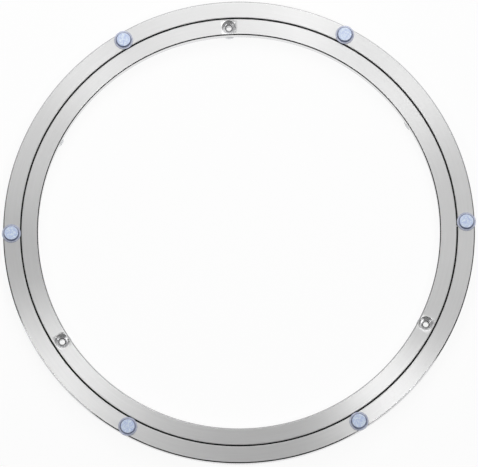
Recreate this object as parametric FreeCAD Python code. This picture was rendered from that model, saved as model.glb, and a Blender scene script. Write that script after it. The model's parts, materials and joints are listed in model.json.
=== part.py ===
import FreeCAD, Part
import math
import os

from FreeCAD import Vector

# Flat turntable bearing for a swivelling tray or shelf, in millimetres.
# Two aluminium rings lie one inside the other and are flush above and below. Steel balls,
# spaced by a nylon strip, run in a groove between them. The inner ring stands on six clear
# stick-on feet and is screwed down through three countersunk holes, and the foot under each
# hole is pierced. The tray lies on the six clear pads of the outer ring, which turns.
# The origin is on the axis of the rings, level with the undersides of the feet. +Z is up.

# Rings
BORE_DIAMETER = 255.5
INNER_RING_WIDTH = 10.45
RUNNING_GAP = 1.1
OUTER_RING_WIDTH = 10.7
RING_HEIGHT = 7.0
BEVEL_WIDTH = 0.7
BEVEL_DEPTH = 0.6
GAP_CHAMFER = 0.3

# Balls and their groove
BALL_DIAMETER = 3.5
BALL_COUNT = 30
BALL_CLEARANCE = 0.12
FIRST_BALL_ANGLE = 6.0

# Nylon strip that spaces the balls
STRIP_THICKNESS = 1.4
STRIP_HEIGHT = 4.9
STRIP_CLEARANCE = 0.25
STRIP_SPLIT = 2.0

# Screw holes through the inner ring
SCREW_HOLE_COUNT = 3
SCREW_HOLE_DIAMETER = 3.6
COUNTERSINK_DIAMETER = 9.0
COUNTERSINK_ANGLE = 90.0
FIRST_HOLE_ANGLE = 91.6

# Clear bumpers: pads on the outer ring, feet under the inner ring
BUMPER_HEIGHT = 2.6
SKIRT_DIAMETER = 12.0
SKIRT_THICKNESS = 0.5
BODY_DIAMETER = 9.8
CROWN_DIAMETER = 8.8
CROWN_ROUNDING = 0.6
FOOT_HOLE_DIAMETER = 4.4
FEET_PER_HOLE = 2
FIRST_PAD_ANGLE = 0.2

# Each pad is stuck on by hand, so it is off its even place by this many degrees
PAD_DRIFTS = [0.6, 0.6, -0.6, -0.4, -0.3, 0.1]

Z_AXIS = Vector(0, 0, 1)
FULL_TURN = 360.0

# Reaches are measured from the pitch circle of the balls, towards either ring
GAP_REACH = RUNNING_GAP / 2
PITCH_RADIUS = BORE_DIAMETER / 2 + INNER_RING_WIDTH + GAP_REACH
INNER_MID_RADIUS = BORE_DIAMETER / 2 + INNER_RING_WIDTH / 2
OUTER_MID_RADIUS = PITCH_RADIUS + GAP_REACH + OUTER_RING_WIDTH / 2
STRIP_REACH = STRIP_THICKNESS / 2
RELIEF_REACH = STRIP_REACH + STRIP_CLEARANCE
RELIEF_HALF_HEIGHT = STRIP_HEIGHT / 2 + STRIP_CLEARANCE
GROOVE_RADIUS = BALL_DIAMETER / 2 + BALL_CLEARANCE
GROOVE_HALF_HEIGHT = math.sqrt(GROOVE_RADIUS**2 - RELIEF_REACH**2)

# Levels
RING_BOTTOM = BUMPER_HEIGHT
RING_TOP = RING_BOTTOM + RING_HEIGHT
BALL_LEVEL = RING_BOTTOM + RING_HEIGHT / 2


def around(radius, angle, level):
    """The point at this radius, angle in degrees and level."""
    turn = math.radians(angle)
    return Vector(radius * math.cos(turn), radius * math.sin(turn), level)


def spaced_angles(first, count):
    """Evenly spaced angles over a full turn."""
    return [first + FULL_TURN * index / count for index in range(count)]


def revolved(edges):
    """The solid that a closed outline in the XZ plane sweeps about the axis."""
    return Part.Face(Part.Wire(edges)).revolve(Vector(), Z_AXIS, FULL_TURN)


def ring(side, width):
    """A plain ring: side is -1 inside the pitch circle and 1 outside it."""

    def corner(reach, height):
        return Vector(PITCH_RADIUS + side * reach, 0, BALL_LEVEL + height)

    half = RING_HEIGHT / 2
    edge = GAP_REACH + width
    upper = [
        (RELIEF_REACH, GROOVE_HALF_HEIGHT),
        (RELIEF_REACH, RELIEF_HALF_HEIGHT),
        (GAP_REACH, RELIEF_HALF_HEIGHT),
        (GAP_REACH, half - GAP_CHAMFER),
        (GAP_REACH + GAP_CHAMFER, half),
        (edge - BEVEL_WIDTH, half),
        (edge, half - BEVEL_DEPTH),
    ]
    lower = [(reach, -height) for reach, height in reversed(upper)]
    corners = [corner(reach, height) for reach, height in upper + lower]
    groove = Part.Arc(corners[-1], corner(GROOVE_RADIUS, 0), corners[0]).toShape()
    return revolved([groove] + Part.makePolygon(corners).Edges)


def screw_hole(angle):
    """The cutter for one countersunk hole, down through the inner ring."""
    hole_radius = SCREW_HOLE_DIAMETER / 2
    sink_radius = COUNTERSINK_DIAMETER / 2
    sink_depth = (sink_radius - hole_radius) / math.tan(math.radians(COUNTERSINK_ANGLE / 2))
    shank = Part.makeCylinder(hole_radius, RING_HEIGHT, around(INNER_MID_RADIUS, angle, RING_BOTTOM))
    seat = around(INNER_MID_RADIUS, angle, RING_TOP - sink_depth)
    return shank.fuse(Part.makeCone(hole_radius, sink_radius, sink_depth, seat))


def inner_ring():
    """The fixed ring, with its screw holes."""
    angles = spaced_angles(FIRST_HOLE_ANGLE, SCREW_HOLE_COUNT)
    return ring(-1, INNER_RING_WIDTH).cut([screw_hole(angle) for angle in angles])


def outer_ring():
    """The ring that turns."""
    return ring(1, OUTER_RING_WIDTH)


def balls():
    """The steel balls, each a solid of its own."""
    angles = spaced_angles(FIRST_BALL_ANGLE, BALL_COUNT)
    return [Part.makeSphere(BALL_DIAMETER / 2, around(PITCH_RADIUS, angle, BALL_LEVEL)) for angle in angles]


def ball_pocket(angle):
    """The cutter for one round pocket, straight out through the strip."""
    start = around(PITCH_RADIUS - STRIP_THICKNESS, angle, BALL_LEVEL)
    outward = around(1, angle, 0)
    return Part.makeCylinder(GROOVE_RADIUS, 2 * STRIP_THICKNESS, start, outward)


def ball_strip():
    """The nylon strip, bent round into the groove so that its ends nearly meet."""
    bottom = BALL_LEVEL - STRIP_HEIGHT / 2
    outside = Part.makeCylinder(PITCH_RADIUS + STRIP_REACH, STRIP_HEIGHT, Vector(0, 0, bottom))
    inside = Part.makeCylinder(PITCH_RADIUS - STRIP_REACH, STRIP_HEIGHT, Vector(0, 0, bottom))
    split_angle = FIRST_BALL_ANGLE - FULL_TURN / BALL_COUNT / 2
    split = Part.makeBox(2 * STRIP_THICKNESS, STRIP_SPLIT, STRIP_HEIGHT)
    split.translate(Vector(PITCH_RADIUS - STRIP_THICKNESS, -STRIP_SPLIT / 2, bottom))
    split.rotate(Vector(), Z_AXIS, split_angle)
    pockets = [ball_pocket(angle) for angle in spaced_angles(FIRST_BALL_ANGLE, BALL_COUNT)]
    return outside.cut([inside, split] + pockets)


def bumper():
    """One clear bumper, standing on its sticky side at the origin."""
    skirt = Part.makeCylinder(SKIRT_DIAMETER / 2, SKIRT_THICKNESS)
    body_height = BUMPER_HEIGHT - SKIRT_THICKNESS
    seat = Vector(0, 0, SKIRT_THICKNESS)
    body = Part.makeCone(BODY_DIAMETER / 2, CROWN_DIAMETER / 2, body_height, seat)
    shape = skirt.fuse(body).removeSplitter()
    rim = [edge for edge in shape.Edges if abs(edge.BoundBox.ZMin - BUMPER_HEIGHT) < CROWN_ROUNDING / 2]
    return shape.makeFillet(CROWN_ROUNDING, rim)


def pads():
    """The pads, stuck on top of the outer ring."""
    even = spaced_angles(FIRST_PAD_ANGLE, len(PAD_DRIFTS))
    places = [around(OUTER_MID_RADIUS, angle + drift, RING_TOP) for angle, drift in zip(even, PAD_DRIFTS)]
    return [bumper().translated(place) for place in places]


def feet():
    """The feet, stuck under the inner ring: the first is under a screw hole and pierced."""
    solids = []
    angles = spaced_angles(FIRST_HOLE_ANGLE, FEET_PER_HOLE * SCREW_HOLE_COUNT)
    for index, angle in enumerate(angles):
        place = around(INNER_MID_RADIUS, angle, RING_BOTTOM)
        foot = bumper().rotated(Vector(), Vector(1, 0, 0), FULL_TURN / 2).translated(place)
        if index % FEET_PER_HOLE == 0:
            floor = around(INNER_MID_RADIUS, angle, 0)
            foot = foot.cut(Part.makeCylinder(FOOT_HOLE_DIAMETER / 2, BUMPER_HEIGHT, floor))
        solids.append(foot)
    return solids


def numbered(name, solids):
    """Node names name_1, name_2 and so on, with their solids."""
    return {f"{name}_{index}": solid for index, solid in enumerate(solids, start=1)}


nodes = {
    "inner_ring": inner_ring(),
    "outer_ring": outer_ring(),
    "ball_strip": ball_strip(),
}
nodes.update(numbered("ball", balls()))
nodes.update(numbered("pad", pads()))
nodes.update(numbered("foot", feet()))

os.makedirs("parts", exist_ok=True)
for name, shape in nodes.items():
    shape.exportStep(f"parts/{name}.step")
    print(name, len(shape.Solids), shape.isValid(), round(shape.Volume, 1))
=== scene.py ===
"""Dresses a flat turntable bearing and sets it on a white studio floor.

Two brushed aluminium rings lie one inside the other. Steel balls in a nylon strip run between
them, clear pads lie on the outer ring and clear feet under the inner one. Lengths are in metres
and angles in degrees.
"""

import json
import logging
import math
from abc import ABC, abstractmethod
from dataclasses import dataclass, field, replace
from enum import Enum

import bmesh
import bpy
from mathutils import Matrix, Vector


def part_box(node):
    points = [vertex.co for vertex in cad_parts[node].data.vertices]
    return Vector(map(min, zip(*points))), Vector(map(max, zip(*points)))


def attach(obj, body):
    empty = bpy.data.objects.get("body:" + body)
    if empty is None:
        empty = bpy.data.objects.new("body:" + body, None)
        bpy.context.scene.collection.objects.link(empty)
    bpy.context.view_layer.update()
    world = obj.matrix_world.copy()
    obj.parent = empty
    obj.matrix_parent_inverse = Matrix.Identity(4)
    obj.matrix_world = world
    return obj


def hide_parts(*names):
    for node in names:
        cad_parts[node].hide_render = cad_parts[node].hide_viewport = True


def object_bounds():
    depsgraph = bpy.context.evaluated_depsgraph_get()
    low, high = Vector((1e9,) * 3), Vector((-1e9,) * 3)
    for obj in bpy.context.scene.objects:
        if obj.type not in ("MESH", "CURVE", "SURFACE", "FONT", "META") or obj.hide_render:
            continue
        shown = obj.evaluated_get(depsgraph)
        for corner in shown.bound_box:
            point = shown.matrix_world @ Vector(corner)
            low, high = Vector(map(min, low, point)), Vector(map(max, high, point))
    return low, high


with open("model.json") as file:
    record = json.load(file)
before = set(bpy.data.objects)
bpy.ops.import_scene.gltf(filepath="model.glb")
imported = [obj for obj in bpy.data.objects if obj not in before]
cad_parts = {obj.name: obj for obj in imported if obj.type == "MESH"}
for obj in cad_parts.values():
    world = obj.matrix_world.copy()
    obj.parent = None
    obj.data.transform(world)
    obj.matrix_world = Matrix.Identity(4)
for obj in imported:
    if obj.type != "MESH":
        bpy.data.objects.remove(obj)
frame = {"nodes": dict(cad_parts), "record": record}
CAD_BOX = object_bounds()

MM = 0.001
LOG = logging.getLogger("turntable")

# There are as many feet as pads. The first foot lies under a screw hole, and so does every other one.
BUMPER_COUNT = 6
FEET_PER_HOLE = 2

# Noise runs from 0 to 1. Its roughness is how strong each finer layer is beside the one before.
NOISE_MIDDLE = 0.5
NOISE_ROUGHNESS = 0.6
SPECK_DETAIL = 2.0

# Where a Mix node has its sockets when it mixes colours
MIX_FACTOR = 0
MIX_LOW = 6
MIX_HIGH = 7
MIX_RESULT = 2

Colour = tuple[float, float, float]
Tint = Colour | bpy.types.NodeSocket
Sockets = dict[str | int, object]

BLACK: Colour = (0.0, 0.0, 0.0)
WHITE: Colour = (1.0, 1.0, 1.0)


class Signal:
    """A number that changes over a surface, with arithmetic that adds Math nodes."""

    def __init__(self, sheet: "NodeSheet", socket: bpy.types.NodeSocket) -> None:
        """Wraps an output.

        Args:
            sheet: The nodes that the output belongs to.
            socket: The output that carries the number.
        """
        self.sheet = sheet
        self.socket = socket

    def math(self, operation: str, *values: "Signal | float") -> "Signal":
        """Adds one Math node.

        Args:
            operation: The Math node's operation.
            *values: Its inputs in order.

        Returns:
            The node's result.
        """
        node = self.sheet.node("ShaderNodeMath", {"operation": operation}, dict(enumerate(values)))
        return Signal(self.sheet, node.outputs[0])

    def __add__(self, other: "Signal | float") -> "Signal":
        """This number plus the other."""
        return self.math("ADD", self, other)

    def __radd__(self, other: float) -> "Signal":
        """The other number plus this."""
        return self.math("ADD", other, self)

    def __sub__(self, other: "Signal | float") -> "Signal":
        """This number minus the other."""
        return self.math("SUBTRACT", self, other)

    def __rsub__(self, other: float) -> "Signal":
        """The other number minus this."""
        return self.math("SUBTRACT", other, self)

    def __mul__(self, other: "Signal | float") -> "Signal":
        """This number times the other."""
        return self.math("MULTIPLY", self, other)

    def __rmul__(self, other: float) -> "Signal":
        """The other number times this."""
        return self.math("MULTIPLY", other, self)

    def __truediv__(self, other: "Signal | float") -> "Signal":
        """This number divided by the other."""
        return self.math("DIVIDE", self, other)

    def __rtruediv__(self, other: float) -> "Signal":
        """The other number divided by this."""
        return self.math("DIVIDE", other, self)

    def __pow__(self, other: float) -> "Signal":
        """This number to the other's power."""
        return self.math("POWER", self, other)

    def highest(self, other: "Signal | float") -> "Signal":
        """The larger of the two numbers."""
        return self.math("MAXIMUM", self, other)

    def ramp(self, low: float, high: float) -> "Signal":
        """Turns the number into 0 up to low, 1 from high, and a straight climb between.

        Args:
            low: Where the climb starts.
            high: Where it ends.

        Returns:
            The result.
        """
        node = self.sheet.node("ShaderNodeMapRange", None, {0: self, 1: low, 2: high})
        return Signal(self.sheet, node.outputs[0])


class NodeSheet:
    """The nodes of one material or of the world."""

    def __init__(self, owner: bpy.types.ID) -> None:
        """Empties the owner's nodes.

        Args:
            owner: The material or world whose nodes these are.
        """
        owner.use_nodes = True
        self.tree = owner.node_tree
        self.tree.nodes.clear()

    def node(
        self, kind: str, settings: dict | None = None, inputs: Sockets | None = None
    ) -> bpy.types.Node:
        """Adds one node.

        Args:
            kind: The node's type.
            settings: Its own settings, which are made first.
            inputs: Values, sockets or signals by the input's name or number.

        Returns:
            The node.
        """
        node = self.tree.nodes.new(kind)
        for name, value in (settings or {}).items():
            setattr(node, name, value)
        for name, value in (inputs or {}).items():
            source = value.socket if isinstance(value, Signal) else value
            if isinstance(source, bpy.types.NodeSocket):
                self.tree.links.new(source, node.inputs[name])
            else:
                node.inputs[name].default_value = source
        return node

    def number(self, node: bpy.types.Node, output: str | int = 0) -> Signal:
        """A node's output as a number to calculate with."""
        return Signal(self, node.outputs[output])

    def combine(self, x: Signal | float, y: Signal | float, z: Signal | float) -> bpy.types.NodeSocket:
        """A vector made of three numbers."""
        return self.node("ShaderNodeCombineXYZ", None, {0: x, 1: y, 2: z}).outputs[0]

    def noise(self, place: bpy.types.NodeSocket, detail: float) -> Signal:
        """Noise from 0 to 1, about one unit of the place to a speck.

        Args:
            place: The vector to read it at.
            detail: How many finer layers it has.

        Returns:
            The noise.
        """
        inputs = {"Vector": place, "Scale": 1.0, "Detail": detail, "Roughness": NOISE_ROUGHNESS}
        return self.number(self.node("ShaderNodeTexNoise", None, inputs))

    def specks(self, size: float) -> Signal:
        """Noise from 0 to 1, in specks that are as long as they are wide.

        Args:
            size: How large a speck is.

        Returns:
            The noise.
        """
        inputs = {0: self.node("ShaderNodeTexCoord").outputs["Object"], "Scale": 1 / size}
        place = self.node("ShaderNodeVectorMath", {"operation": "SCALE"}, inputs)
        return self.noise(place.outputs[0], SPECK_DETAIL)

    def mix(self, factor: Signal | float, low: Tint, high: Tint) -> bpy.types.NodeSocket:
        """A colour between two others.

        Args:
            factor: 0 for the low colour and 1 for the high one.
            low: The first colour, as numbers or as the socket that gives it.
            high: The second colour.

        Returns:
            The mixed colour.
        """
        inputs = {MIX_FACTOR: factor}
        for index, tint in ((MIX_LOW, low), (MIX_HIGH, high)):
            inputs[index] = tint if isinstance(tint, bpy.types.NodeSocket) else (*tint, 1.0)
        return self.node("ShaderNodeMix", {"data_type": "RGBA"}, inputs).outputs[MIX_RESULT]

    def bump(self, height: Signal, strength: float, distance: float) -> bpy.types.NodeSocket:
        """A normal roughened by a height.

        Args:
            height: The height, from 0 to 1.
            strength: How much of the bump shows.
            distance: How high 1 stands.

        Returns:
            The normal.
        """
        inputs = {"Height": height, "Strength": strength, "Distance": distance}
        return self.node("ShaderNodeBump", None, inputs).outputs[0]

    def seen(self, mirrored: bool) -> Signal:
        """1 where the camera sees it, plainly or through something clear, and else 0.

        Args:
            mirrored: Whether it is also 1 for a mirror.

        Returns:
            The signal.
        """
        path = self.node("ShaderNodeLightPath")
        plain = self.number(path, "Is Camera Ray")
        seen = plain.highest(self.number(path, "Is Transmission Ray"))
        return seen.highest(self.number(path, "Is Glossy Ray")) if mirrored else seen

    def end(self, kind: str, shader: bpy.types.NodeSocket) -> None:
        """Joins a shader to the Surface input of an output node of this kind."""
        self.node(kind, None, {"Surface": shader})


@dataclass(frozen=True)
class TurnedPlace:
    """Where a point lies on a turned piece: its circle and its way round.

    Across is the radius and the height together, so that it changes over flat faces and upright
    walls alike.
    """

    radius: Signal
    across: Signal
    around_x: Signal
    around_y: Signal

    @classmethod
    def on(cls, sheet: NodeSheet) -> "TurnedPlace":
        """Reads the place of each point about the bearing's axis.

        Args:
            sheet: The nodes to add to.

        Returns:
            The place.
        """
        coordinates = sheet.node("ShaderNodeTexCoord").outputs["Object"]
        split = sheet.node("ShaderNodeSeparateXYZ", None, {0: coordinates})
        x, y, z = (sheet.number(split, index) for index in range(3))
        radius = (x * x + y * y) ** 0.5
        return cls(radius, radius + z, x / radius, y / radius)

    def streaks(self, per_radian: float, width: float, detail: float) -> Signal:
        """Long noise that runs round the axis.

        Args:
            per_radian: How many streaks follow each other in a radian.
            width: How wide a streak is.
            detail: How many finer layers there are.

        Returns:
            The noise from 0 to 1.
        """
        sheet = self.across.sheet
        turn_x = self.around_x * per_radian
        turn_y = self.around_y * per_radian
        return sheet.noise(sheet.combine(turn_x, turn_y, self.across / width), detail)


@dataclass(frozen=True)
class Finish(ABC):
    """A finish, made as a material with one shader."""

    name: str

    @abstractmethod
    def sockets(self, sheet: NodeSheet) -> Sockets:
        """Adds the nodes that the finish needs.

        Args:
            sheet: The nodes to add to.

        Returns:
            What the shader's sockets take.
        """

    def material(self) -> bpy.types.Material:
        """Makes the material.

        Returns:
            The material.
        """
        made = bpy.data.materials.new(self.name)
        sheet = NodeSheet(made)
        shader = sheet.node("ShaderNodeBsdfPrincipled", None, self.sockets(sheet))
        sheet.end("ShaderNodeOutputMaterial", shader.outputs[0])
        return made


@dataclass(frozen=True)
class Aluminium(Finish):
    """Aluminium brushed or turned in circles about the bearing's axis.

    It has fine streaks, one brush width across, and broad ones that are broad_times as wide. The
    quarter turns say how its gloss is stretched: 0 along the streaks and 1 across them.
    """

    dark: Colour
    pale: Colour
    roughness: float
    roughness_swing: float
    brush_width: float
    brush_depth: float
    anisotropy: float = 0.0
    quarter_turns: int = 0
    metallic: float = 1.0
    brush_strength: float = 0.35
    fine_per_radian: float = 9.0
    fine_detail: float = 2.0
    broad_per_radian: float = 3.0
    broad_detail: float = 1.0
    broad_times: float = 6.0

    def sockets(self, sheet: NodeSheet) -> Sockets:
        """Fine streaks in relief and broad ones in gloss, and both of them in tone.

        Args:
            sheet: The nodes to add to.

        Returns:
            What the shader's sockets take.
        """
        place = TurnedPlace.on(sheet)
        broad_width = self.broad_times * self.brush_width
        fine = place.streaks(self.fine_per_radian, self.brush_width, self.fine_detail)
        broad = place.streaks(self.broad_per_radian, broad_width, self.broad_detail)
        return {
            "Base Color": sheet.mix((fine + broad) / 2, self.dark, self.pale),
            "Metallic": self.metallic,
            "Roughness": self.roughness + (broad - NOISE_MIDDLE) * self.roughness_swing,
            "Anisotropic": self.anisotropy,
            "Anisotropic Rotation": self.quarter_turns / 4,
            "Normal": sheet.bump(fine, self.brush_strength, self.brush_depth),
        }


@dataclass(frozen=True)
class PolishedSteel(Finish):
    """Ball steel, polished, with a thin film of grease."""

    name: str = "polished_steel"
    dark: Colour = (0.44, 0.44, 0.45)
    pale: Colour = (0.6, 0.6, 0.62)
    roughness: float = 0.12
    speck_size: float = 0.6 * MM
    film_haze: float = 0.1
    film_gloss: float = 0.4

    def sockets(self, sheet: NodeSheet) -> Sockets:
        """A film in specks, which dulls the steel and lies on it as a coat.

        Args:
            sheet: The nodes to add to.

        Returns:
            What the shader's sockets take.
        """
        film = sheet.specks(self.speck_size)
        return {
            "Base Color": sheet.mix(film, self.dark, self.pale),
            "Metallic": 1.0,
            "Roughness": self.roughness + film * self.film_haze,
            "Coat Weight": film * self.film_gloss,
        }


@dataclass(frozen=True)
class MouldedNylon(Finish):
    """Black nylon with the fine grain of a moulding."""

    name: str = "black_nylon"
    dark: Colour = (0.006, 0.006, 0.006)
    pale: Colour = (0.014, 0.014, 0.015)
    roughness: float = 0.5
    roughness_swing: float = 0.2
    specular: float = 0.25
    grain_size: float = 0.15 * MM
    grain_strength: float = 0.3
    grain_depth: float = 0.02 * MM

    def sockets(self, sheet: NodeSheet) -> Sockets:
        """A grain in tone, gloss and relief.

        Args:
            sheet: The nodes to add to.

        Returns:
            What the shader's sockets take.
        """
        grain = sheet.specks(self.grain_size)
        return {
            "Base Color": sheet.mix(grain, self.dark, self.pale),
            "Roughness": self.roughness + grain * self.roughness_swing,
            "Specular IOR Level": self.specular,
            "Normal": sheet.bump(grain, self.grain_strength, self.grain_depth),
        }


@dataclass(frozen=True)
class ClearPlastic(Finish):
    """Clear soft plastic: cloudy where it is looked into, with painted shade where it is seen aslant."""

    clear: Colour
    cloudy: Colour
    edge: Colour
    face_alpha: float
    edge_alpha: float
    slant_limits: tuple[float, float] = (0.05, 0.4)
    cloud_limits: tuple[float, float] = (0.36, 0.64)
    cloud_size: float = 0.9 * MM
    roughness: float = 0.12
    roughness_swing: float = 0.25
    coat: float = 0.6
    coat_roughness: float = 0.05
    ripple_strength: float = 0.4
    ripple_depth: float = 0.04 * MM

    def sockets(self, sheet: NodeSheet) -> Sockets:
        """Clouds in tone, gloss and relief, and a darker tone towards the edges, which is painted shade.

        Args:
            sheet: The nodes to add to.

        Returns:
            What the shader's sockets take.
        """
        cloud = sheet.specks(self.cloud_size)
        # The edge tone, which the colour runs to where the surface is seen aslant, is painted shade for
        # the dark rims of clear plastic
        slant = sheet.number(sheet.node("ShaderNodeLayerWeight"), "Facing")
        towards_edge = slant.ramp(*self.slant_limits)
        face = sheet.mix(cloud.ramp(*self.cloud_limits), self.clear, self.cloudy)
        return {
            "Base Color": sheet.mix(towards_edge, face, self.edge),
            "Roughness": self.roughness + cloud * self.roughness_swing,
            "Coat Weight": self.coat,
            "Coat Roughness": self.coat_roughness,
            "Alpha": self.face_alpha + towards_edge * (self.edge_alpha - self.face_alpha),
            "Normal": sheet.bump(cloud, self.ripple_strength, self.ripple_depth),
        }


class Face(Enum):
    """The surfaces of a ring, in the order of its material slots."""

    BRUSHED = 0
    RIM = 1
    BEVEL = 2
    LIP = 3
    GROOVE = 4
    COUNTERSINK = 5
    THROAT = 6


class BumperFace(Enum):
    """The surfaces of a bumper, in the order of its material slots."""

    CROWN = 0
    WALL = 1
    SKIRT = 2


@dataclass(frozen=True)
class Corner:
    """A corner of a profile, and the face that follows it."""

    out: float
    up: float
    face: Face | BumperFace = Face.BRUSHED
    rounding: float = 0.0


@dataclass
class Profile:
    """A closed outline of corners, which turns about an axis into a solid of revolution.

    A rounding takes at most the share most_of_edge of either edge beside it. One more point lies
    on each of those edges, the length hold beyond the rounding, and keeps the rest of it flat.
    """

    corners: list[Corner]
    arc_steps: int = 3
    hold: float = 0.08 * MM
    most_of_edge: float = 0.4

    def points(self) -> list[Corner]:
        """Rounds the corners, and holds each flat next to them flat.

        Returns:
            The points of the rounded outline in order.
        """
        made: list[Corner] = []
        for index, corner in enumerate(self.corners):
            before = self.corners[index - 1]
            after = self.corners[(index + 1) % len(self.corners)]
            made += self.rounded(before, corner, after)
        return made

    def rounded(self, before: Corner, corner: Corner, after: Corner) -> list[Corner]:
        """Rounds one corner.

        Args:
            before: The corner before it.
            corner: The corner.
            after: The corner after it.

        Returns:
            The points that take its place.
        """
        if not corner.rounding:
            return [corner]
        here = Vector((corner.out, corner.up))
        back = Vector((before.out, before.up)) - here
        ahead = Vector((after.out, after.up)) - here
        tangent = corner.rounding / math.tan(back.angle(ahead) / 2)
        reach = min(tangent, self.most_of_edge * min(back.length, ahead.length))
        back.normalize()
        ahead.normalize()
        start = here + back * reach
        end = here + ahead * reach
        made = [Corner(*(start + back * self.hold), before.face), Corner(*start, corner.face)]
        for step in range(1, self.arc_steps):
            share = step / self.arc_steps
            bend = start.lerp(here, share).lerp(here.lerp(end, share), share)
            made.append(Corner(*bend, corner.face))
        made += [Corner(*end, corner.face), Corner(*(end + ahead * self.hold), corner.face)]
        return made


@dataclass
class Lathe:
    """Turns a profile about a vertical axis into a mesh."""

    segments: int
    centre: Vector = field(default_factory=Vector)
    sharp_angle: float = 40.0

    def turned(self, name: str, profile: Profile, closed: bool = True) -> bpy.types.Object:
        """Makes the turned mesh.

        Args:
            name: The piece's name.
            profile: The outline to turn.
            closed: True if the outline closes, False if both its ends lie on the axis.

        Returns:
            The piece.
        """
        points = profile.points()
        mesh = bmesh.new()
        rows = [self.row(mesh, point) for point in points]
        count = len(rows) if closed else len(rows) - 1
        for index in range(count):
            self.band(mesh, rows[index], rows[(index + 1) % len(rows)], points[index].face)
        bmesh.ops.recalc_face_normals(mesh, faces=mesh.faces)
        piece = add_mesh(name, mesh)
        piece.data.set_sharp_from_angle(angle=math.radians(self.sharp_angle))
        return piece

    def row(self, mesh: bmesh.types.BMesh, point: Corner) -> list[bmesh.types.BMVert]:
        """Adds one circle of vertices, or one vertex on the axis.

        Args:
            mesh: The mesh to add to.
            point: The point of the profile that goes round.

        Returns:
            The vertices in order.
        """
        if point.out <= 0:
            return [mesh.verts.new(self.centre + Vector((0, 0, point.up)))]
        made = []
        for index in range(self.segments):
            turn = 2 * math.pi * index / self.segments
            place = Vector((point.out * math.cos(turn), point.out * math.sin(turn), point.up))
            made.append(mesh.verts.new(self.centre + place))
        return made

    def band(
        self,
        mesh: bmesh.types.BMesh,
        first: list[bmesh.types.BMVert],
        second: list[bmesh.types.BMVert],
        face: Face | BumperFace,
    ) -> None:
        """Joins two circles by faces, which are triangles where one circle is a single vertex.

        Args:
            mesh: The mesh to add to.
            first: The first circle's vertices.
            second: The next circle's vertices.
            face: The face that the band belongs to.
        """
        for index in range(self.segments):
            after = index + 1
            loop = [first[place % len(first)] for place in (index, after)]
            loop += [second[place % len(second)] for place in (after, index)]
            new = mesh.faces.new(list(dict.fromkeys(loop)))
            new.smooth = True
            new.material_index = face.value


@dataclass
class ScrewHoles:
    """The countersunk screw holes through a ring, told by their angles about its axis.

    The lip is the rounded edge of the countersink, and the throat is its lowest stretch. The tool
    that cuts them reaches beyond the ring by the length spare. A face that slopes by no more than
    level_within belongs to the ring's top or underside, not to the wall of a hole.
    """

    angles: tuple[float, ...]
    radius: float = 1.8 * MM
    throat_radius: float = 2.3 * MM
    countersink_radius: float = 4.5 * MM
    lip: float = 0.15 * MM
    lip_rise: float = 0.05 * MM
    spare: float = 1.0 * MM
    level_within: float = 5.0
    segments: int = 96

    def pierce(self, piece: bpy.types.Object, middle: float, low: float, high: float) -> None:
        """Cuts the holes through a ring.

        Args:
            piece: The ring to cut.
            middle: How far the holes lie from the axis.
            low: The level of the ring's underside.
            high: The level of its top.
        """
        outline = [
            Corner(0.0, low - self.spare),
            Corner(self.radius, low - self.spare),
            Corner(self.radius, high - self.countersink_radius + self.radius),
            Corner(self.throat_radius, high - self.countersink_radius + self.throat_radius),
            Corner(self.countersink_radius - self.lip, high - self.lip),
            Corner(self.countersink_radius, high - self.lip_rise),
            Corner(self.countersink_radius + self.lip, high + self.lip_rise),
            Corner(0.0, high + self.spare),
        ]
        for angle in self.angles:
            centre = Matrix.Rotation(math.radians(angle), 3, "Z") @ Vector((middle, 0, 0))
            cutter = Lathe(self.segments, centre).turned("hole_cutter", Profile(outline), closed=False)
            cut = piece.modifiers.new("hole", "BOOLEAN")
            cut.operation = "DIFFERENCE"
            cut.solver = "EXACT"
            cut.object = cutter
            evaluated = piece.evaluated_get(bpy.context.evaluated_depsgraph_get())
            cut_mesh = bpy.data.meshes.new_from_object(evaluated)
            piece.modifiers.clear()
            piece.data = cut_mesh
            bpy.data.objects.remove(cutter)
            self.dress(cut_mesh, centre)

    def dress(self, mesh: bpy.types.Mesh, centre: Vector) -> None:
        """Gives the walls of one hole their own finishes.

        Args:
            mesh: The ring's mesh.
            centre: A point on the hole's axis.
        """
        for face in mesh.polygons:
            out = (face.center - centre).xy.length
            level = abs(face.normal.z) >= math.cos(math.radians(self.level_within))
            if out < self.countersink_radius + self.lip and not level:
                throat = self.radius < out < self.throat_radius
                face.material_index = (Face.THROAT if throat else Face.COUNTERSINK).value


class Side(Enum):
    """Which side of the balls a ring lies on."""

    INNER = -1
    OUTER = 1


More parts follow.
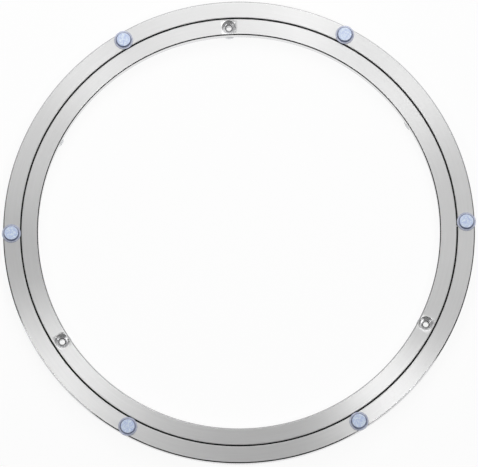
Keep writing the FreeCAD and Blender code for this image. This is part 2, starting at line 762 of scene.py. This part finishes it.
@dataclass
class Ring:
    """One aluminium ring, with its half of the ball groove."""

    node: str
    body: str
    side: Side
    holes: ScrewHoles | None = None
    ball_radius: float = 1.75 * MM
    ball_clearance: float = 0.12 * MM
    relief_reach: float = 0.95 * MM
    relief_half_height: float = 2.7 * MM
    bevel_width: float = 0.7 * MM
    bevel_depth: float = 0.6 * MM
    gap_chamfer: float = 0.3 * MM
    edge_rounding: float = 0.12 * MM
    groove_steps: int = 10
    segments: int = 480

    def build(self, pitch: float, materials: list[bpy.types.Material]) -> bpy.types.Object:
        """Makes the ring in place of its plain node.

        Args:
            pitch: The radius of the circle that the balls' centres lie on.
            materials: The materials of its faces.

        Returns:
            The finished ring.
        """
        low, high = (corner.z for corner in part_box(self.node))
        reaches = reach_of(self.node)
        profile = self.profile(pitch, reaches, low, high)
        piece = Lathe(self.segments).turned(f"{self.node}_turned", profile)
        dress(piece, materials)
        if self.holes:
            self.holes.pierce(piece, sum(reaches) / 2, low, high)
        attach(piece, self.body)
        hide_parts(self.node)
        return piece

    def profile(self, pitch: float, reaches: tuple[float, float], low: float, high: float) -> Profile:
        """The ring's section, from the ball groove out to its free edge and back.

        Args:
            pitch: The radius of the circle that the balls' centres lie on.
            reaches: The ring's least and greatest radius.
            low: The level of its underside.
            high: The level of its top.

        Returns:
            The outline.
        """
        middle = (low + high) / 2
        half = (high - low) / 2
        gap, edge = sorted(abs(reach - pitch) for reach in reaches)
        soft = self.edge_rounding

        # These corners are told from the centre of a ball: how far into the ring, and how high
        upper = [
            Corner(self.relief_reach, self.relief_half_height, Face.GROOVE),
            Corner(gap, self.relief_half_height, Face.GROOVE),
            Corner(gap, half - self.gap_chamfer, Face.LIP, soft / 2),
            Corner(gap + self.gap_chamfer, half, Face.BRUSHED, soft / 2),
            Corner(edge - self.bevel_width, half, Face.BEVEL, soft),
            Corner(edge, half - self.bevel_depth, Face.RIM, soft),
        ]
        # On the way back a corner is followed by the face that came before it on the way out
        faces_back = [corner.face for corner in reversed(upper[:-1])] + [Face.GROOVE]
        pairs = zip(reversed(upper), faces_back)
        lower = [replace(corner, up=-corner.up, face=face) for corner, face in pairs]
        corners = self.groove() + upper + lower
        side = self.side.value
        return Profile([replace(at, out=pitch + side * at.out, up=middle + at.up) for at in corners])

    def groove(self) -> list[Corner]:
        """The groove's arc, told from the centre of a ball.

        Returns:
            Its points from the lowest to the highest.
        """
        radius = self.ball_radius + self.ball_clearance
        half_angle = math.acos(self.relief_reach / radius)
        made = []
        for step in range(self.groove_steps + 1):
            turn = half_angle * (2 * step / self.groove_steps - 1)
            made.append(Corner(radius * math.cos(turn), radius * math.sin(turn), Face.GROOVE))
        return made


@dataclass
class Rings:
    """The two rings and the finishes that both share."""

    brushed: Aluminium = Aluminium(
        name="brushed_face",
        dark=(0.62, 0.62, 0.62),
        pale=(0.73, 0.73, 0.73),
        roughness=0.383,
        roughness_swing=0.05,
        brush_width=0.22 * MM,
        brush_depth=0.012 * MM,
        anisotropy=0.89,
        quarter_turns=1,
    )
    rim: Aluminium = Aluminium(
        name="turned_rim",
        dark=(0.72, 0.72, 0.725),
        pale=(0.82, 0.82, 0.825),
        roughness=0.22,
        roughness_swing=0.04,
        brush_width=0.3 * MM,
        brush_depth=0.01 * MM,
        anisotropy=0.3,
        quarter_turns=1,
    )
    bevel: Aluminium = Aluminium(
        name="cut_bevel",
        dark=(0.54, 0.54, 0.545),
        pale=(0.63, 0.63, 0.635),
        roughness=0.14,
        roughness_swing=0.03,
        brush_width=0.3 * MM,
        brush_depth=0.002 * MM,
    )
    # Pale and mostly matte on the chamfers beside the running gap, so they show as bright lines from
    # every side: painted highlight on the aluminium
    lip: Aluminium = Aluminium(
        name="lip_painted_highlight",
        dark=(0.74, 0.74, 0.74),
        pale=(0.84, 0.84, 0.84),
        roughness=0.5,
        roughness_swing=0.02,
        brush_width=0.3 * MM,
        brush_depth=0.004 * MM,
        metallic=0.2,
    )
    # Nearly black aluminium on the ball groove and the walls of the running gap: painted shade for the
    # shade deep in the gap
    groove: Aluminium = Aluminium(
        name="groove_painted_shade",
        dark=(0.03, 0.03, 0.031),
        pale=(0.06, 0.06, 0.062),
        roughness=0.35,
        roughness_swing=0.05,
        brush_width=0.2 * MM,
        brush_depth=0.006 * MM,
        anisotropy=0.3,
        quarter_turns=1,
    )
    # Paler than the brushed face and partly matte, so the countersinks look lit from every side: painted
    # light on the aluminium
    countersink: Aluminium = Aluminium(
        name="countersink_painted_light",
        dark=(0.84, 0.84, 0.85),
        pale=(0.94, 0.94, 0.95),
        roughness=0.2,
        roughness_swing=0.04,
        brush_width=0.3 * MM,
        brush_depth=0.004 * MM,
        metallic=0.75,
    )
    # Nearly black aluminium on the lowest stretch of each screw hole: painted shade for the shade down
    # the hole
    throat: Aluminium = Aluminium(
        name="throat_painted_shade",
        dark=(0.03, 0.03, 0.032),
        pale=(0.07, 0.07, 0.072),
        roughness=0.35,
        roughness_swing=0.05,
        brush_width=0.2 * MM,
        brush_depth=0.004 * MM,
    )

    def build(self) -> list[bpy.types.Object]:
        """Makes both rings.

        Returns:
            The rings.
        """
        finishes = {
            Face.BRUSHED: self.brushed,
            Face.RIM: self.rim,
            Face.BEVEL: self.bevel,
            Face.LIP: self.lip,
            Face.GROOVE: self.groove,
            Face.COUNTERSINK: self.countersink,
            Face.THROAT: self.throat,
        }
        materials = [finishes[face].material() for face in Face]
        pitch = pitch_radius()
        inner = Ring("inner_ring", "fixed_ring", Side.INNER, ScrewHoles(screw_hole_angles()))
        outer = Ring("outer_ring", "turning_ring", Side.OUTER)
        return [ring.build(pitch, materials) for ring in (inner, outer)]


@dataclass
class Bumper:
    """The shape of a clear stick-on bumper, told from its sticky side."""

    skirt_radius: float = 6.0 * MM
    skirt_thickness: float = 0.5 * MM
    body_radius: float = 4.9 * MM
    crown_radius: float = 4.4 * MM
    crown_rounding: float = 0.6 * MM
    skirt_rounding: float = 0.2 * MM
    arc_steps: int = 5
    hole_radius: float = 2.2 * MM
    segments: int = 96

    def build(self, node: str, body: str, flipped: bool, pierced: bool) -> bpy.types.Object:
        """Makes a bumper in place of its plain node.

        Args:
            node: The node it takes the place of.
            body: The body it rides on.
            flipped: True if its sticky side is on top.
            pierced: True if a screw passes through it.

        Returns:
            The finished bumper.
        """
        low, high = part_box(node)
        centre = (low + high) / 2
        base = high.z if flipped else low.z
        way = -1 if flipped else 1
        height = high.z - low.z
        inner = self.hole_radius if pierced else 0.0
        corners = [
            Corner(inner, 0.0, BumperFace.CROWN),
            Corner(self.skirt_radius, 0.0, BumperFace.SKIRT, self.skirt_rounding / 2),
            Corner(self.skirt_radius, self.skirt_thickness, BumperFace.SKIRT, self.skirt_rounding),
            Corner(self.body_radius, self.skirt_thickness, BumperFace.WALL, self.skirt_rounding),
            Corner(self.crown_radius, height, BumperFace.CROWN, self.crown_rounding),
            Corner(inner, height, BumperFace.WALL),
        ]
        outline = Profile([replace(at, up=base + way * at.up) for at in corners], self.arc_steps)
        lathe = Lathe(self.segments, Vector((centre.x, centre.y, 0)))
        piece = lathe.turned(f"{node}_clear", outline, closed=pierced)
        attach(piece, body)
        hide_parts(node)
        return piece


@dataclass
class Bumpers:
    """The pads on the outer ring and the feet under the inner one."""

    bumper: Bumper = field(default_factory=Bumper)
    pad_crown: ClearPlastic = ClearPlastic(
        name="pad_crown",
        clear=(0.52, 0.62, 0.9),
        cloudy=(0.79, 0.88, 1.0),
        edge=(0.19, 0.23, 0.38),
        face_alpha=0.95,
        edge_alpha=0.85,
    )
    # A darker copy of the pad's plastic: its blue tint is its own, and its darkness is painted shade for
    # the dark ring that refraction shows round a clear pad
    pad_wall_painted_shade: ClearPlastic = ClearPlastic(
        name="pad_wall_painted_shade",
        clear=(0.33, 0.38, 0.54),
        cloudy=(0.46, 0.51, 0.67),
        edge=(0.22, 0.26, 0.4),
        face_alpha=0.8,
        edge_alpha=0.85,
    )
    pad_skirt: ClearPlastic = ClearPlastic(
        name="pad_skirt",
        clear=(0.64, 0.68, 0.88),
        cloudy=(0.84, 0.87, 1.0),
        edge=(0.34, 0.38, 0.52),
        face_alpha=0.7,
        edge_alpha=0.75,
    )
    foot_plastic: ClearPlastic = ClearPlastic(
        name="foot_plastic",
        clear=(0.8, 0.84, 0.9),
        cloudy=(0.9, 0.92, 0.95),
        edge=(0.6, 0.63, 0.68),
        face_alpha=0.35,
        edge_alpha=0.2,
    )

    def build(self) -> list[bpy.types.Object]:
        """Makes all the pads and feet.

        Returns:
            The pads and feet.
        """
        plastics = {
            BumperFace.CROWN: self.pad_crown,
            BumperFace.WALL: self.pad_wall_painted_shade,
            BumperFace.SKIRT: self.pad_skirt,
        }
        pad_materials = [plastics[face].material() for face in BumperFace]
        foot_materials = [self.foot_plastic.material()] * len(BumperFace)
        made = []
        for index in range(BUMPER_COUNT):
            pierced = index % FEET_PER_HOLE == 0
            pad = self.bumper.build(f"pad_{index + 1}", "turning_ring", flipped=False, pierced=False)
            foot = self.bumper.build(f"foot_{index + 1}", "fixed_ring", flipped=True, pierced=pierced)
            dress(pad, pad_materials)
            dress(foot, foot_materials)
            made += [pad, foot]
        return made


@dataclass
class BallRace:
    """The balls and the strip that spaces them, which keep their own nodes."""

    steel: PolishedSteel = PolishedSteel()
    nylon: MouldedNylon = MouldedNylon()

    def build(self) -> list[bpy.types.Object]:
        """Gives each node of the race its material.

        Returns:
            The balls and the strip.
        """
        steel = self.steel.material()
        nylon = self.nylon.material()
        made = []
        for name in frame["record"]["behaviour"]["bodies"]["ball_race"]:
            piece = frame["nodes"][name]
            piece.data.materials.clear()
            dress(piece, [nylon if name == "ball_strip" else steel])
            made.append(piece)
        return made


@dataclass
class Floor:
    """A round white floor, which keeps the object's soft shadow.

    The share own_white of it is white by itself where it is seen, and the rest is grey paint. The share
    shade of that own white is taken away in a ring under the gap and the outer ring, set by the distance
    from the axis: painted shade where they keep the light off, which lets the real shadow there show.
    """

    radius: float = 40.0
    segments: int = 64
    grey: float = 0.95
    own_white: float = 0.9
    shade: float = 0.9

    # The shade sets in just inside the gap and fades again just short of the outer ring's rim
    shade_from_gap: tuple[float, float] = (-4.0 * MM, -1.0 * MM)
    shade_to_rim: tuple[float, float] = (-5.0 * MM, -1.5 * MM)

    def build(self) -> None:
        """Lays the floor."""
        mesh = bmesh.new()
        bmesh.ops.create_circle(mesh, cap_ends=True, segments=self.segments, radius=self.radius)
        floor = add_mesh("floor", mesh)
        material = bpy.data.materials.new("floor_white")
        sheet = NodeSheet(material)
        colour = (self.grey, self.grey, self.grey, 1.0)
        paint = sheet.node("ShaderNodeBsdfDiffuse", None, {"Color": colour})
        white = sheet.node("ShaderNodeEmission", None, {"Strength": 1.0})
        share = sheet.seen(mirrored=True) * self.own_white * (1 - self.covered(sheet))
        shaders = {0: share, 1: paint.outputs[0], 2: white.outputs[0]}
        mixed = sheet.node("ShaderNodeMixShader", None, shaders)
        sheet.end("ShaderNodeOutputMaterial", mixed.outputs[0])
        dress(floor, [material])

    def covered(self, sheet: NodeSheet) -> Signal:
        """Painted shade: how much of its own white the floor loses under the gap and the outer ring, by
        the distance from the axis.

        Args:
            sheet: The nodes of the floor.

        Returns:
            The share of its own white that the floor loses there.
        """
        radius = TurnedPlace.on(sheet).radius
        gap, rim = pitch_radius(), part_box("outer_ring")[1].x
        inward = radius.ramp(*(gap + margin for margin in self.shade_from_gap))
        outward = radius.ramp(*(rim + margin for margin in self.shade_to_rim))
        return inward * (1 - outward) * self.shade


@dataclass
class Room:
    """The world: grey for the lighting and for mirrors, and white where the camera sees it.

    The grey is middle overhead, lighter by swing at the back and darker by it at the front. The
    backdrop adds to it behind the object, and the flanks low down behind it on both sides.
    """

    middle: float = 0.075
    swing: float = 0.043
    backdrop: float = 0.43
    backdrop_power: int = 8
    flanks: float = 1.3
    flank_power: int = 2
    flank_top: tuple[float, float] = (0.1, 0.25)

    def build(self) -> None:
        """Makes the world."""
        world = bpy.data.worlds.new("studio")
        bpy.context.scene.world = world
        sheet = NodeSheet(world)
        way = sheet.node("ShaderNodeTexCoord").outputs["Generated"]
        parts = sheet.node("ShaderNodeSeparateXYZ", None, {0: way})
        sideways, backward, upward = (sheet.number(parts, axis) for axis in "XYZ")
        behind = backward.highest(0.0)
        backdrop = behind ** self.backdrop_power * self.backdrop
        low = 1 - upward.ramp(*self.flank_top)
        flank = sideways.highest(0 - sideways) * behind ** self.flank_power
        grey = self.middle + backward * self.swing + backdrop + flank * low * self.flanks
        seen = sheet.seen(mirrored=False)
        colour = sheet.mix(seen + (1 - seen) * grey, BLACK, WHITE)
        shader = sheet.node("ShaderNodeBackground", None, {"Color": colour})
        sheet.end("ShaderNodeOutputWorld", shader.outputs[0])


@dataclass
class Lamp:
    """One soft lamp, told by where it hangs about the bearing.

    The azimuth runs anticlockwise from the right, as seen from above.
    """

    name: str
    azimuth: float
    elevation: float
    distance: float
    size: tuple[float, float]
    watts: float

    def hang(self, target: Vector) -> None:
        """Hangs the lamp.

        Args:
            target: The point it shines at.
        """
        light = bpy.data.lights.new(self.name, "AREA")
        light.shape = "RECTANGLE"
        light.size, light.size_y = self.size
        light.energy = self.watts
        lamp = add_object(self.name, light)
        turn, rise = math.radians(self.azimuth), math.radians(self.elevation)
        away = Vector((math.cos(turn) * math.cos(rise), math.sin(turn) * math.cos(rise), math.sin(rise)))
        lamp.location = target + away * self.distance
        lamp.rotation_euler = away.to_track_quat("Z", "Y").to_euler()
        lamp.visible_camera = False


@dataclass
class Camera:
    """The camera, where the photograph was taken from. Its sight is how far it sees."""

    elevation: float = 78.13
    roll: float = 1.2
    distance: float = 2.6
    focal_length: float = 308.1 * MM
    aim_right: float = 0.03 * MM
    aim_up: float = -2.5 * MM
    sight: float = 80.0

    def stand(self, target: Vector) -> None:
        """Stands the camera.

        Args:
            target: The middle of what it looks at, from which aim_right and aim_up move its aim.
        """
        rise, roll = math.radians(self.elevation), math.radians(self.roll)
        back = Vector((0, -math.cos(rise), math.sin(rise)))
        level_up = Vector((0, math.sin(rise), math.cos(rise)))
        level_right = Vector((1, 0, 0))
        right = level_right * math.cos(roll) - level_up * math.sin(roll)
        up = level_right * math.sin(roll) + level_up * math.cos(roll)
        data = bpy.data.cameras.new("camera")
        data.lens = self.focal_length / MM
        data.clip_end = self.sight
        pose = Matrix((right, up, back)).transposed().to_4x4()
        pose.translation = target + right * self.aim_right + up * self.aim_up + back * self.distance
        camera = add_object("camera", data)
        camera.matrix_world = pose
        bpy.context.scene.camera = camera


@dataclass
class Studio:
    """The floor, the room, the lamps and the camera."""

    floor: Floor = field(default_factory=Floor)
    room: Room = field(default_factory=Room)
    camera: Camera = field(default_factory=Camera)
    lamps: tuple[Lamp, ...] = (
        Lamp("left_softbox", azimuth=195, elevation=52, distance=1.6, size=(0.4, 0.4), watts=2.45),
        Lamp("front_left_softbox", azimuth=211, elevation=60, distance=1.6, size=(0.4, 0.4), watts=2.3),
        Lamp("front_right_softbox", azimuth=326, elevation=60, distance=1.6, size=(0.4, 0.4), watts=5.15),
        Lamp("right_softbox", azimuth=30, elevation=62, distance=1.6, size=(0.8, 0.8), watts=2.2),
        Lamp("back_right_softbox", azimuth=60, elevation=37, distance=1.6, size=(0.8, 0.8), watts=3.6),
        Lamp("high_right_softbox", azimuth=60, elevation=62, distance=1.6, size=(0.8, 0.8), watts=0.95),
        Lamp("back_near_softbox", azimuth=90, elevation=45, distance=0.6, size=(0.3, 0.3), watts=0.71),
        Lamp("back_left_softbox", azimuth=135, elevation=46, distance=0.8, size=(0.4, 0.4), watts=0.7),
        Lamp("high_softbox", azimuth=90, elevation=75, distance=0.8, size=(0.3, 0.3), watts=0.28),
        Lamp("left_card", azimuth=208, elevation=8, distance=1.6, size=(0.9, 0.38), watts=1.1),
        Lamp("right_card", azimuth=318, elevation=8, distance=1.6, size=(0.9, 0.38), watts=1.1),
    )

    def build(self) -> None:
        """Sets up everything around the object."""
        self.floor.build()
        self.room.build()
        for lamp in self.lamps:
            lamp.hang(Vector((0, 0, CAD_BOX[1].z)))
        self.camera.stand(Vector((0, 0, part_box("outer_ring")[1].z)))
        bpy.context.scene.view_settings.view_transform = "Standard"


def add_object(name: str, data: bpy.types.ID) -> bpy.types.Object:
    """Adds an object to the scene.

    Args:
        name: Its name.
        data: Its mesh, light or camera.

    Returns:
        The object.
    """
    made = bpy.data.objects.new(name, data)
    bpy.context.scene.collection.objects.link(made)
    return made


def add_mesh(name: str, mesh: bmesh.types.BMesh) -> bpy.types.Object:
    """Adds a mesh to the scene, and frees what it was built in.

    Args:
        name: Its name.
        mesh: The mesh as it was built.

    Returns:
        The object.
    """
    data = bpy.data.meshes.new(name)
    mesh.to_mesh(data)
    mesh.free()
    return add_object(name, data)


def dress(piece: bpy.types.Object, materials: list[bpy.types.Material]) -> None:
    """Gives a piece its materials, in the order of its faces."""
    for material in materials:
        piece.data.materials.append(material)


def reach_of(node: str) -> tuple[float, float]:
    """The least and the greatest distance of a node's surface from the bearing's axis."""
    reaches = [vertex.co.xy.length for vertex in frame["nodes"][node].data.vertices]
    return min(reaches), max(reaches)


def pitch_radius() -> float:
    """The radius of the circle that the balls' centres lie on."""
    low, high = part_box("ball_1")
    return ((low + high) / 2).xy.length


def screw_hole_angles() -> tuple[float, ...]:
    """The angle of each screw hole, where the pierced feet lie.

    Returns:
        The angles about the bearing's axis.
    """
    angles = []
    for index in range(0, BUMPER_COUNT, FEET_PER_HOLE):
        low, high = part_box(f"foot_{index + 1}")
        middle = (low + high) / 2
        angles.append(math.degrees(math.atan2(middle.y, middle.x)))
    return tuple(angles)


def main() -> None:
    """Builds the pieces in order and reports each, then sets up the studio."""
    logging.basicConfig(level=logging.INFO, format="%(name)s %(message)s")
    for group in (Rings(), BallRace(), Bumpers()):
        for piece in group.build():
            LOG.info("%s: %d faces", piece.name, len(piece.data.polygons))
    Studio().build()


if __name__ == "__main__":
    main()
